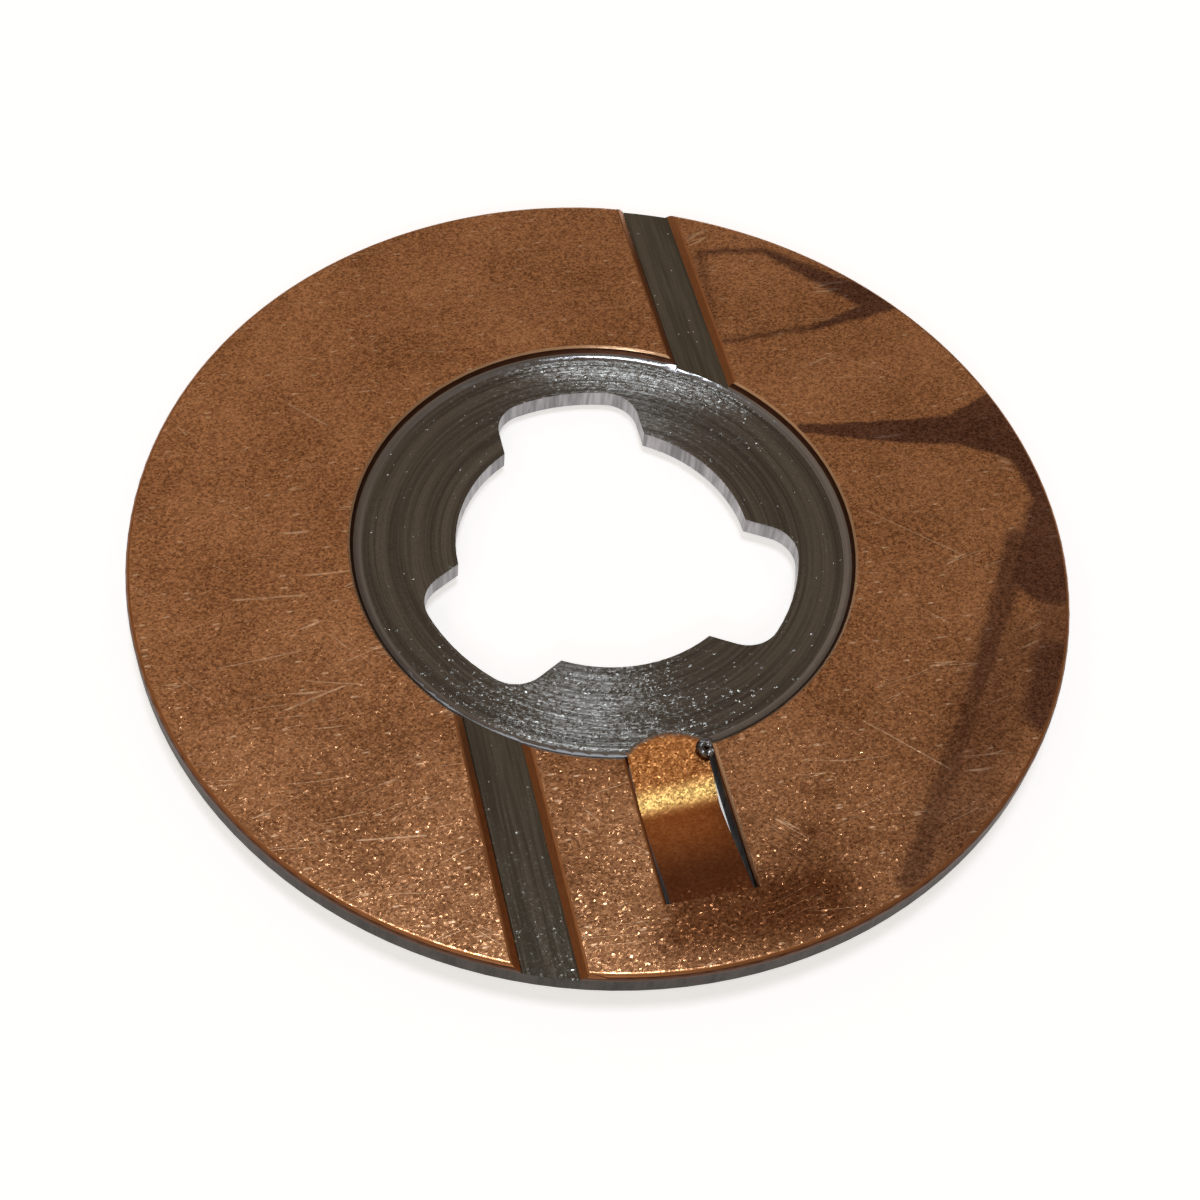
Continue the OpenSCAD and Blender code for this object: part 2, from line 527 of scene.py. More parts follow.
class Finish:
    """The look of one kind of surface."""

    name = "finish"
    edge_samples: ClassVar[int] = 4

    def material(self, kit: EffectKit) -> bpy.types.Material:
        """Make the material.

        Args:
            kit: The shared effects.

        Returns:
            The new material.
        """
        material = bpy.data.materials.new(self.name)
        material.use_nodes = True
        graph = Graph(material.node_tree)
        material.node_tree.nodes.clear()
        shader = graph.add("ShaderNodeBsdfPrincipled")
        output = graph.add("ShaderNodeOutputMaterial")
        graph.feed(output.inputs["Surface"], shader.outputs["BSDF"])
        self.shade(graph, shader.inputs, kit)
        return material

    def shade(self, graph: Graph, shader: bpy.types.NodeInputs, kit: EffectKit) -> None:
        """Feed the shader's sockets.

        Args:
            graph: The material's tree.
            shader: The Principled shader's inputs.
            kit: The shared effects.
        """
        raise NotImplementedError

    @staticmethod
    def surface(graph: Graph, edge: float = 0.0) -> Socket:
        """Normal of the surface, with its sharp edges broken where asked.

        Args:
            graph: The material's tree.
            edge: Radius of the broken edges in millimetres, or 0 for sharp ones.

        Returns:
            The normal's socket.
        """
        if not edge:
            return graph.add("ShaderNodeNewGeometry").outputs["Normal"]
        node = graph.add("ShaderNodeBevel", samples=Finish.edge_samples)
        node.inputs["Radius"].default_value = edge * MM
        return node.outputs["Normal"]

    @staticmethod
    def bump(graph: Graph, height: Feed, depth: float, normal: Feed) -> Socket:
        """Raise a surface by a height pattern.

        Args:
            graph: The material's tree.
            height: The pattern, from 0 to 1.
            depth: Depth of the pattern in millimetres.
            normal: Normal to start from.

        Returns:
            The bumped normal's socket.
        """
        node = graph.add("ShaderNodeBump")
        node.inputs["Distance"].default_value = depth * MM
        graph.feed(node.inputs["Height"], height)
        graph.feed(node.inputs["Normal"], normal)
        return node.outputs["Normal"]


@dataclass(frozen=True)
class Mark:
    """A straight mark on the bronze face, in millimetres."""

    start: Span
    end: Span
    start_width: float
    end_width: float
    softness: float = 0.4
    strength: float = 1.0

    def mask(self, graph: Graph, kit: EffectKit, position: Feed) -> Socket:
        """Where the mark lies.

        Args:
            graph: The material's tree.
            kit: The shared effects.
            position: Position on the washer in millimetres.

        Returns:
            The mark's mask.
        """
        placed = kit.stroke.place(
            graph,
            Position=position,
            Start=(*self.start, 0.0),
            End=(*self.end, 0.0),
            Start_Width=self.start_width,
            End_Width=self.end_width,
            Softness=self.softness,
            Strength=self.strength,
        )
        return placed["Mask"]

    @staticmethod
    def union(graph: Graph, masks: list[Socket]) -> Feed:
        """The strongest of several masks.

        Args:
            graph: The material's tree.
            masks: The masks.

        Returns:
            One mask for all of them.
        """
        whole: Feed = 0.0
        for mask in masks:
            whole = graph.math("MAXIMUM", whole, mask)
        return whole


# Painted reflection: dark streaks and patches on the right of the face, where the bronze mirrors dark things
# round it. They darken the colour and calm the grain.
PAINTED_DARK_REFLECTIONS = (
    Mark((16.4, 6.7), (22.0, 5.4), 0.9, 1.9, 0.15),
    Mark((22.0, 5.4), (27.0, 4.6), 1.9, 2.6, 0.15),
    Mark((27.0, 4.6), (32.0, 4.3), 2.6, 7.4, 0.2),
    Mark((32.6, 4.0), (32.9, -3.0), 4.6, 4.6, 0.3),
    Mark((32.9, -3.0), (29.6, -8.6), 4.6, 5.8, 0.5),
    Mark((28.4, -5.6), (21.2, -16.5), 2.0, 1.4, 0.4, 0.85),
    Mark((21.2, -16.5), (12.3, -28.8), 1.4, 1.7, 0.45, 0.75),
    Mark((31.0, -7.5), (27.4, -14.5), 3.4, 3.0, 0.9, 0.6),
    Mark((27.2, -15.6), (25.0, -19.2), 4.0, 3.6, 0.9, 0.95),
    Mark((25.0, -13.5), (15.8, -26.6), 4.6, 5.0, 2.0, 0.5),
    Mark((13.6, 25.0), (18.5, 24.4), 0.5, 0.6, 0.3, 0.9),
    Mark((18.5, 24.4), (25.2, 18.0), 0.6, 2.4, 0.35),
    Mark((12.4, 15.8), (20.0, 16.0), 0.4, 0.5, 0.3, 0.8),
    Mark((20.0, 16.0), (26.6, 17.4), 0.5, 1.5, 0.25),
    Mark((13.4, 24.6), (12.6, 16.6), 0.8, 0.5, 0.6, 0.6),
)

# Darker patches on the face round the tab's heel.
DARK_PATCHES = (
    Mark((-2.5, -29.4), (6.4, -28.8), 3.2, 5.0, 1.6, 0.9),
    Mark((-2.0, -28.3), (3.4, -28.0), 2.6, 2.8, 0.8, 0.85),
    Mark((5.0, -27.0), (7.2, -24.4), 2.4, 1.4, 1.0, 0.45),
)

SCORES = (
    Mark((12.9, -17.4), (17.3, -21.9), 0.05, 0.05, 0.06),
    Mark((-26.8, -5.6), (-21.5, -5.3), 0.05, 0.05, 0.06, 0.8),
    Mark((-21.5, -7.6), (-17.9, -8.6), 0.04, 0.04, 0.06, 0.8),
    Mark((-25.2, -9.0), (-23.0, -9.1), 0.04, 0.04, 0.06, 0.7),
    Mark((-20.2, -19.4), (-16.1, -19.9), 0.06, 0.06, 0.07),
    Mark((18.4, -1.1), (23.8, -6.0), 0.04, 0.04, 0.06),
    Mark((25.1, -7.3), (26.7, -7.0), 0.04, 0.04, 0.06),
    Mark((20.4, 13.2), (24.3, 10.8), 0.03, 0.03, 0.06, 0.7),
    Mark((-25.8, 10.4), (-23.0, 10.4), 0.03, 0.03, 0.06, 0.7),
    Mark((-21.8, 17.1), (-20.0, 17.5), 0.03, 0.03, 0.06, 0.7),
    Mark((-10.1, 18.9), (-7.6, 18.3), 0.03, 0.03, 0.06, 0.7),
)


@dataclass(frozen=True)
class GrainedBronze(Finish):
    """Sintered bronze of the running face, burnished by use, with scratches, darker patches and painted dark
    reflections.
    """

    name: str = "grained_bronze"
    dark: Colour = (0.21, 0.082, 0.032, 1.0)
    light: Colour = (1.0, 0.52, 0.26, 1.0)
    bright: Colour = (1.0, 0.72, 0.48, 1.0)
    # Painted reflection tint, multiplied into the colour under the dark reflection marks.
    painted_reflection: Colour = (0.36, 0.35, 0.46, 1.0)
    dark_patch: Colour = (0.32, 0.225, 0.17, 1.0)
    roughness: float = 0.24
    lean: float = 0.07
    reflection_smoothing: float = 0.75
    wander_scale: float = 0.5
    wander_reach: float = 0.5
    cloud_scale: float = 0.14
    cloud_detail: float = 3.0
    cloud_weight: float = 0.45
    cloud_roughness: float = 0.1
    tone_span: Span = (0.06, 1.39)
    scratch_runs: tuple[Span, ...] = ((4.0, 0.4), (-17.0, 0.37), (44.0, 0.34))
    scratch_width: float = 0.01
    scratch_shine: float = 0.75
    scratch_roughness: float = 0.2
    faintness: float = 0.7
    fleck_stretch: Triple = (0.32, 1.0, 1.0)
    flecks_per_mm: float = 2.0
    fleck_share: float = 0.09
    fleck_size: float = 0.2

    def shade(self, graph: Graph, shader: bpy.types.NodeInputs, kit: EffectKit) -> None:
        """Pressed grain with uneven burnish, scratches, darker patches and painted dark reflections.

        Args:
            graph: The material's tree.
            shader: The Principled shader's inputs.
            kit: The shared effects.
        """
        position = kit.place.place(graph)["Position"]
        wandered = self.wandered(graph, position)
        # Painted dark reflections, drawn as soft strokes; they also calm the grain's lean.
        painted_reflection = Mark.union(graph, [mark.mask(graph, kit, wandered) for mark in PAINTED_DARK_REFLECTIONS])
        dark_patch = Mark.union(graph, [mark.mask(graph, kit, wandered) for mark in DARK_PATCHES])
        scratch = self.scratched(graph, kit, position)
        lean = graph.math("MULTIPLY_ADD", painted_reflection, -self.reflection_smoothing * self.lean, self.lean)
        grain = kit.grain.place(graph, Position=position, Lean=lean, Normal=self.surface(graph))
        cloud = graph.noise(position, self.cloud_scale, self.cloud_detail, "2D").outputs["Fac"]
        tone = graph.math("MULTIPLY_ADD", cloud, self.cloud_weight, grain["Shade"])
        colour = graph.mixed(graph.ramp(tone, *self.tone_span), self.dark, self.light)
        # Scratches and flecks are real marks; their paler colour is partly a painted highlight along them.
        colour = graph.mixed(graph.math("MULTIPLY", scratch, self.scratch_shine), colour, self.bright)
        colour = graph.mixed(dark_patch, colour, self.dark_patch, "MULTIPLY")
        graph.feed(shader["Base Color"], graph.mixed(painted_reflection, colour, self.painted_reflection, "MULTIPLY"))
        shader["Metallic"].default_value = 1.0
        burnish = graph.math("SUBTRACT", cloud, MIDDLE)
        rough = graph.math("MULTIPLY_ADD", burnish, self.cloud_roughness, self.roughness)
        graph.feed(shader["Roughness"], graph.math("MULTIPLY_ADD", scratch, self.scratch_roughness, rough))
        graph.feed(shader["Normal"], grain["Normal"])

    def wandered(self, graph: Graph, position: Feed) -> Socket:
        """Shift a position unevenly, so that the marks get crooked outlines.

        Args:
            graph: The material's tree.
            position: Position on the washer in millimetres.

        Returns:
            The shifted position.
        """
        drift = graph.noise(position, self.wander_scale, across="2D").outputs["Color"]
        centred = graph.vector("SUBTRACT", drift, (MIDDLE, MIDDLE, MIDDLE))
        return graph.vector("ADD", position, graph.scaled(centred, self.wander_reach))

    def scratched(self, graph: Graph, kit: EffectKit, position: Feed) -> Feed:
        """Lay fine scratches, short flecks and a few deep scores over each other.

        Args:
            graph: The material's tree.
            kit: The shared effects.
            position: Position on the washer in millimetres.

        Returns:
            One mask for all of them.
        """
        drawn = graph.vector("MULTIPLY", position, self.fleck_stretch)
        flecks = kit.specks.place(
            graph,
            Position=drawn,
            Per_Millimetre=self.flecks_per_mm,
            Share=self.fleck_share,
            Size=self.fleck_size,
        )
        masks = [flecks["Mask"]]
        for angle, share in self.scratch_runs:
            run = kit.scratches.place(
                graph, Position=position, Angle=math.radians(angle), Share=share, Width=self.scratch_width
            )
            masks.append(run["Mask"])
        faint = graph.math("MULTIPLY", Mark.union(graph, masks), self.faintness)
        return Mark.union(graph, [faint] + [score.mask(graph, kit, position) for score in SCORES])


@dataclass(frozen=True)
class StretchedBronze(Finish):
    """Bronze on the lanced strip: grainy and golden on the inner slope, with a painted highlight along its
    bend, rubbed smooth on the outer one.

    The press left the strip's bend slightly askew, so the finish follows lines that slant across it. The
    spans are distances along the strip, in millimetres.
    """

    name: str = "stretched_bronze"
    dark: Colour = (0.4, 0.13, 0.032, 1.0)
    light: Colour = (1.0, 0.46, 0.16, 1.0)
    # Painted highlight colour along the strip's bend.
    painted_highlight: Colour = (0.84, 0.55, 0.18, 1.0)
    rubbed: Colour = (0.45, 0.13, 0.033, 1.0)
    shadowed: Colour = (0.34, 0.34, 0.46, 1.0)
    steel: Colour = (0.2, 0.18, 0.155, 1.0)
    slant: float = 0.05
    steep_span: Span = (-18.5, -19.8)
    outer_span: Span = (-19.9, -21.1)
    shadow_span: Span = (-21.0, -26.0)
    heel_span: Span = (-25.6, -27.2)
    inner_lean: float = 0.05
    face_lean: float = -0.16
    outer_lean: float = 0.24
    heel_lean: float = 0.14
    nose_y: float = -19.3
    nose_radius: float = 3.9
    nose_fade: float = 0.8
    feather: float = 0.4
    grain: float = 0.18
    tone_span: Span = (0.15, 0.85)
    highlight_share: float = 0.8
    rub_stretch: Triple = (3.0, 0.6, 1.0)
    rub_streaks: float = 0.5
    rub_smoothness: float = 0.9
    rub_roughness: float = 0.05
    roughness: float = 0.4

    def shade(self, graph: Graph, shader: bpy.types.NodeInputs, kit: EffectKit) -> None:
        """Shade the two slopes and the bend between them.

        Args:
            graph: The material's tree.
            shader: The Principled shader's inputs.
            kit: The shared effects.
        """
        position = kit.place.place(graph)["Position"]
        x, y, _ = graph.split(position)
        along = graph.math("MULTIPLY_ADD", x, -self.slant, y)
        steep = graph.ramp(along, *self.steep_span)
        outer = graph.ramp(along, *self.outer_span)
        heel = graph.ramp(along, *self.heel_span)
        smooth = graph.math("SUBTRACT", outer, heel)
        grainy = graph.math("MULTIPLY_ADD", smooth, -self.rub_smoothness * self.grain, self.grain)
        normal = self.leaning(graph, steep, outer, heel)
        grain = kit.grain.place(graph, Position=position, Lean=grainy, Normal=normal)
        colour = graph.mixed(graph.ramp(grain["Shade"], *self.tone_span), self.dark, self.light)
        # Painted highlight: pale gold along the strip's bend, where it catches the overhead light.
        highlight_band = graph.math("MULTIPLY", steep, graph.math("SUBTRACT", 1.0, outer))
        colour = graph.mixed(graph.math("MULTIPLY", highlight_band, self.highlight_share), colour, self.painted_highlight)
        streaks = kit.streaks.place(graph, Position=position, Stretch=self.rub_stretch)["Fine"]
        rubbed = graph.mixed(graph.math("MULTIPLY", streaks, self.rub_streaks), self.rubbed, colour)
        rubbed = graph.mixed(graph.ramp(along, *self.shadow_span), rubbed, self.shadowed, "MULTIPLY")
        colour = graph.mixed(outer, colour, rubbed)
        worn = self.worn(graph, x, y, grain["Shade"])
        graph.feed(shader["Base Color"], graph.mixed(worn, colour, self.steel))
        shader["Metallic"].default_value = 1.0
        rough = graph.math("MULTIPLY_ADD", smooth, self.rub_roughness, self.roughness)
        graph.feed(shader["Roughness"], rough)
        graph.feed(shader["Normal"], grain["Normal"])

    def leaning(self, graph: Graph, steep: Feed, outer: Feed, heel: Feed) -> Socket:
        """Lean the normals along the strip, softly from one slope to the next.

        Args:
            graph: The material's tree.
            steep: Where the strip drops towards its bend.
            outer: Where the outer slope has started.
            heel: Where the heel has started.

        Returns:
            The leaning normals.
        """
        lean = graph.math("MULTIPLY_ADD", steep, self.face_lean - self.inner_lean, self.inner_lean)
        lean = graph.math("MULTIPLY_ADD", outer, self.outer_lean - self.face_lean, lean)
        lean = graph.math("MULTIPLY_ADD", heel, self.heel_lean - self.outer_lean, lean)
        turned = graph.add(
            "ShaderNodeVectorTransform", vector_type="NORMAL", convert_from="OBJECT", convert_to="WORLD"
        )
        graph.feed(turned.inputs[0], graph.vector("NORMALIZE", graph.joined(0.0, lean, 1.0)))
        return turned.outputs[0]

    def worn(self, graph: Graph, x: Feed, y: Feed, shade: Feed) -> Socket:
        """Let the bronze feather out round the strip's inner end, where the steel shows.

        Args:
            graph: The material's tree.
            x: Place across the strip in millimetres.
            y: Place along the strip in millimetres.
            shade: The grains' shade, which makes the edge ragged.

        Returns:
            The mask of the bare steel.
        """
        beyond = graph.math("MAXIMUM", graph.math("SUBTRACT", y, self.nose_y), 0.0)
        reach = graph.vector("LENGTH", graph.joined(x, beyond, 0.0))
        ragged = graph.math("MULTIPLY_ADD", graph.math("SUBTRACT", shade, MIDDLE), self.feather, reach)
        worn = graph.ramp(ragged, self.nose_radius - self.feather, self.nose_radius)
        return graph.math("MULTIPLY", worn, graph.ramp(beyond, 0.0, self.nose_fade))


@dataclass(frozen=True)
class BurnishedBronze(Finish):
    """Bronze on rolled edges and cut walls, smooth and streaky."""

    name: str = "burnished_bronze"
    dark: Colour = (0.34, 0.135, 0.048, 1.0)
    light: Colour = (0.55, 0.25, 0.11, 1.0)
    roughness: float = 0.38
    stretch: Triple = (1.5, 1.5, 9.0)
    streak_roughness: float = 0.14
    depth: float = 0.01

    def shade(self, graph: Graph, shader: bpy.types.NodeInputs, kit: EffectKit) -> None:
        """Smooth bronze with soft lengthwise streaks.

        Args:
            graph: The material's tree.
            shader: The Principled shader's inputs.
            kit: The shared effects.
        """
        position = kit.place.place(graph)["Position"]
        lines = kit.streaks.place(graph, Position=position, Stretch=self.stretch)
        graph.feed(shader["Base Color"], graph.mixed(lines["Fine"], self.dark, self.light))
        shader["Metallic"].default_value = 1.0
        least = self.roughness - self.streak_roughness / 2
        rough = graph.math("MULTIPLY_ADD", lines["Broad"], self.streak_roughness, least)
        graph.feed(shader["Roughness"], rough)
        graph.feed(shader["Normal"], self.bump(graph, lines["Fine"], self.depth, self.surface(graph)))


@dataclass(frozen=True)
class LinedSteel(Finish):
    """Steel with tool lines along one direction.

    The stretch gives the lines per millimetre along X, Y and Z, or along radius, X and Y for turned steel.
    The warp is a slight rise in millimetres across a slanting span of the surface.
    """

    name: str = "rolled_steel"
    dark: Colour = (0.20, 0.19, 0.17, 1.0)
    light: Colour = (0.34, 0.33, 0.30, 1.0)
    stretch: Triple = (5.0, 0.15, 1.0)
    turned: bool = False
    roughness: float = 0.34
    depth: float = 0.004
    anisotropy: float = 0.0
    specks: float = 0.02
    glints: float = 0.03
    edge: float = 0.0
    polish: float = 0.0
    warp: float = 0.0
    warp_span: ClassVar[Span] = (14.1, 19.3)
    warp_slant: ClassVar[float] = 0.42
    tone_span: ClassVar[Span] = (0.25, 0.75)
    polish_span: ClassVar[Span] = (0.55, 0.85)
    line_roughness: ClassVar[float] = 0.12
    speck: ClassVar[Colour] = (0.85, 0.9, 1.0, 1.0)
    specks_per_mm: ClassVar[float] = 2.6
    speck_size: ClassVar[float] = 0.2
    quarter_turn: ClassVar[float] = 0.25

    def shade(self, graph: Graph, shader: bpy.types.NodeInputs, kit: EffectKit) -> None:
        """Tool lines in shade, roughness and relief, with glints and bright specks.

        Args:
            graph: The material's tree.
            shader: The Principled shader's inputs.
            kit: The shared effects.
        """
        place = kit.place.place(graph)
        position = place["Position"]
        lined = position
        if self.turned:
            x, y, _ = graph.split(position)
            lined = graph.joined(place["Radius"], x, y)
            tangent = graph.add("ShaderNodeTangent", direction_type="RADIAL", axis="Z")
            graph.feed(shader["Tangent"], tangent.outputs[0])
        lines = kit.streaks.place(graph, Position=lined, Stretch=self.stretch)
        broad = graph.math("SUBTRACT", lines["Broad"], MIDDLE)
        tone = graph.ramp(graph.math("ADD", lines["Fine"], broad), *self.tone_span)
        colour = graph.mixed(tone, self.dark, self.light)
        specks = kit.specks.place(
            graph,
            Position=position,
            Per_Millimetre=self.specks_per_mm,
            Share=self.specks,
            Size=self.speck_size,
        )
        graph.feed(shader["Base Color"], graph.mixed(specks["Mask"], colour, self.speck))
        shader["Metallic"].default_value = 1.0
        normal = self.warped(graph, position)
        grain = kit.grain.place(graph, Position=position, Lean=self.glints, Normal=normal)
        least = self.roughness - self.line_roughness / 2
        rough = graph.math("MULTIPLY_ADD", lines["Fine"], self.line_roughness, least)
        shiny = graph.ramp(grain["Shade"], *self.polish_span)
        graph.feed(shader["Roughness"], graph.math("MULTIPLY_ADD", shiny, -self.polish, rough))
        shader["Anisotropic"].default_value = self.anisotropy
        shader["Anisotropic Rotation"].default_value = self.quarter_turn
        graph.feed(shader["Normal"], self.bump(graph, lines["Fine"], self.depth, grain["Normal"]))

    def warped(self, graph: Graph, position: Feed) -> Socket:
        """Normal of the surface, with its broken edges and its slight rise.

        Args:
            graph: The material's tree.
            position: Position on the washer in millimetres.

        Returns:
            The normal's socket.
        """
        normal = self.surface(graph, self.edge)
        if not self.warp:
            return normal
        x, y, _ = graph.split(position)
        along = graph.math("MULTIPLY_ADD", x, self.warp_slant, y)
        return self.bump(graph, graph.ramp(along, *self.warp_span), self.warp, normal)


@dataclass(frozen=True)
class PaleFloor(Finish):
    """Matt white light table."""

    name: str = "pale_floor"
    colour: Colour = (0.92, 0.92, 0.92, 1.0)
    glow: float = 0.6
    roughness: float = 0.9
    gloss: float = 0.1

    def shade(self, graph: Graph, shader: bpy.types.NodeInputs, kit: EffectKit) -> None:
        """Set an even matt white that glows softly.

        Args:
            graph: The material's tree.
            shader: The Principled shader's inputs.
            kit: The shared effects, not used here.
        """
        shader["Base Color"].default_value = self.colour
        shader["Roughness"].default_value = self.roughness
        shader["Specular IOR Level"].default_value = self.gloss
        shader["Emission Color"].default_value = self.colour
        shader["Emission Strength"].default_value = self.glow


class BronzeZone(Enum):
    """Surfaces of the bronze lining."""

    FACE = GrainedBronze()
    STRIP = StretchedBronze()
    EDGE = BurnishedBronze()
    # Painted shade: near-black bronze for the recess wall, the right slit's lip and the lower rim roll.
    WALL = BurnishedBronze("shade_painted_bronze", (0.045, 0.02, 0.012, 1.0), (0.16, 0.075, 0.045, 1.0))
    # Painted highlight: pale bronze for the recess crest and the top of the right slit's lip.
    CREST = BurnishedBronze("highlight_painted_bronze", (0.7, 0.42, 0.24, 1.0), (1.0, 0.74, 0.52, 1.0), 0.25)


class SteelZone(Enum):
    """Surfaces of the steel back, by how they were made."""

    ROLLED = LinedSteel()
    TURNED = LinedSteel(
        "turned_steel", (0.13, 0.125, 0.114, 1.0), (0.246, 0.238, 0.223, 1.0), (5.5, 0.08, 0.08),
        turned=True, roughness=0.27, depth=0.028, anisotropy=0.92, specks=0.0, glints=0.14, edge=0.08,
        polish=0.08, warp=0.5,
    )
    # Painted highlight: the fillet is a lighter copy of the turned steel, so that its far side shows a
    # bright line.
    FILLET = LinedSteel(
        "fillet_steel", (0.26, 0.255, 0.26, 1.0), (0.34, 0.335, 0.34, 1.0), (9.0, 0.08, 0.08),
        turned=True, roughness=0.2, depth=0.001, specks=0.0, glints=0.02,
    )
    MILLED = LinedSteel(
        "milled_steel", (0.14, 0.135, 0.115, 1.0), (0.21, 0.2, 0.172, 1.0), (6.0, 0.22, 1.0),
        roughness=0.17, depth=0.002, glints=0.055,
    )
    PUNCHED = LinedSteel(
        "punched_steel", (0.2, 0.19, 0.195, 1.0), (0.42, 0.4, 0.41, 1.0), (3.0, 3.0, 0.3),
        specks=0.0, edge=0.12,
    )
    # Painted shade: the sheared outer rim is much darker than the rest of the steel.
    SHEARED = LinedSteel(
        "sheared_steel", (0.036, 0.03, 0.025, 1.0), (0.078, 0.064, 0.054, 1.0), (3.0, 3.0, 0.8),
        roughness=0.55, specks=0.0,
    )
    # Painted shade: the walls inside the tab's window are near black.
    LANCED = LinedSteel(
        "lanced_steel", (0.012, 0.01, 0.009, 1.0), (0.05, 0.04, 0.035, 1.0), (4.0, 4.0, 0.6),
        roughness=0.42, specks=0.0,
    )


TORN_STEEL = LinedSteel(
    "torn_steel", (0.03, 0.028, 0.03, 1.0), (0.3, 0.29, 0.3, 1.0), (4.0, 4.0, 4.0),
    roughness=0.24, glints=0.25,
)


@dataclass
class WasherSizes:
    """Sizes that the finishes and pieces share, in metres, read from the frame or repeated from the part."""

    radius: float
    face_z: float
    low_z: float
    recess_radius: float = 17.3 * MM
    recess_z: float = 1.35 * MM
    chamfer: float = 0.15 * MM
    tab_low_y: float = -20.86 * MM
    tab_nose_y: float = -15.35 * MM
    tab_end_y: float = -27.3 * MM
    slit_start_y: float = -16.6 * MM
    window_x: float = 2.85 * MM
    strip_x: float = 2.65 * MM
    lip_x: float = 3.2 * MM
    rim_start: float = 31.5 * MM
    edge_depth: float = 0.16 * MM

    @classmethod
    def from_frame(cls) -> WasherSizes:
        """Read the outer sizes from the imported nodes.

        Returns:
            The sizes.
        """
        back_low, back_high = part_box("steel_back")
        _, face_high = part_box("bronze_lining")
        return cls(back_high.x, face_high.z, back_low.z)


@dataclass
class PackedNode:
    """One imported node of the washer, which gets its finishes face by face."""

    sizes: WasherSizes
    node: bpy.types.Object
    zones: ClassVar[type[Enum]]

    def zone(self, face: bpy.types.MeshPolygon) -> Enum:
        """Tell which surface of the node a face belongs to.

        Args:
            face: One face of the node.

        Returns:
            The face's zone.
        """
        raise NotImplementedError

    def dress(self, kit: EffectKit) -> None:
        """Give every face the finish of its zone.

        Args:
            kit: The shared effects.
        """
        slots = {zone: index for index, zone in enumerate(self.zones)}
        self.node.data.materials.clear()
        for zone in self.zones:
            self.node.data.materials.append(zone.value.material(kit))
        for face in self.node.data.polygons:
            face.material_index = slots[self.zone(face)]
        LOG.info("%s dressed in %d finishes", self.node.name, len(slots))


@dataclass
class SteelBack(PackedNode):
    """The steel back of the washer. The limits are heights of a face's normal."""

    zones: ClassVar[type[Enum]] = SteelZone
    underside: ClassVar[float] = -0.3
    upright: ClassVar[float] = 0.3
    sloping: ClassVar[float] = 0.9
    level: ClassVar[float] = 0.9999

    def zone(self, face: bpy.types.MeshPolygon) -> SteelZone:
        """Tell how a face was made.

        Args:
            face: One face of the node.

        Returns:
            The face's zone.
        """
        sizes, centre, up = self.sizes, face.center, face.normal.z
        inside = math.hypot(centre.x, centre.y) < sizes.recess_radius
        in_window = abs(centre.x) < sizes.window_x and sizes.tab_end_y < centre.y < sizes.slit_start_y
        if up < self.underside:
            return SteelZone.ROLLED
        if in_window and up < self.sloping:
            return SteelZone.LANCED
        if up < self.upright:
            return SteelZone.PUNCHED if inside else SteelZone.SHEARED
        if not inside:
            return SteelZone.MILLED
        return SteelZone.TURNED if up > self.level else SteelZone.FILLET


@dataclass
class BronzeLining(PackedNode):
    """The bronze lining on the steel back. The limits are heights of a face's normal."""

    zones: ClassVar[type[Enum]] = BronzeZone
    strip_up: ClassVar[float] = 0.7
    face_up: ClassVar[float] = 0.97
    lip_up: ClassVar[float] = 0.5
    roll_up: ClassVar[float] = 0.72

    def zone(self, face: bpy.types.MeshPolygon) -> BronzeZone:
        """Tell which surface of the lining a face belongs to.

        Args:
            face: One face of the node.

        Returns:
            The face's zone.
        """
        sizes, centre, up = self.sizes, face.center, face.normal.z
        on_strip = abs(centre.x) < sizes.strip_x and sizes.tab_end_y < centre.y < sizes.tab_nose_y
        if on_strip and up > self.strip_up:
            return BronzeZone.STRIP
        if up > self.face_up:
            return BronzeZone.FACE
        radius = math.hypot(centre.x, centre.y)
        at_recess = radius < sizes.recess_radius + sizes.chamfer
        beside_slit = 0 < centre.x < sizes.lip_x and sizes.tab_end_y < centre.y < sizes.slit_start_y
        on_crest = at_recess and centre.z > sizes.face_z - sizes.edge_depth
        on_lip = beside_slit and centre.y > sizes.tab_low_y and up > self.lip_up
        # Painted highlight on the recess crest and the top of the slit's lip.
        if on_crest or on_lip:
            return BronzeZone.CREST
        # Painted shade on the lower rim roll, the recess wall and beside the slit.
        shaded_roll = radius > sizes.rim_start and up < self.roll_up
        return BronzeZone.WALL if shaded_roll or at_recess or beside_slit else BronzeZone.EDGE


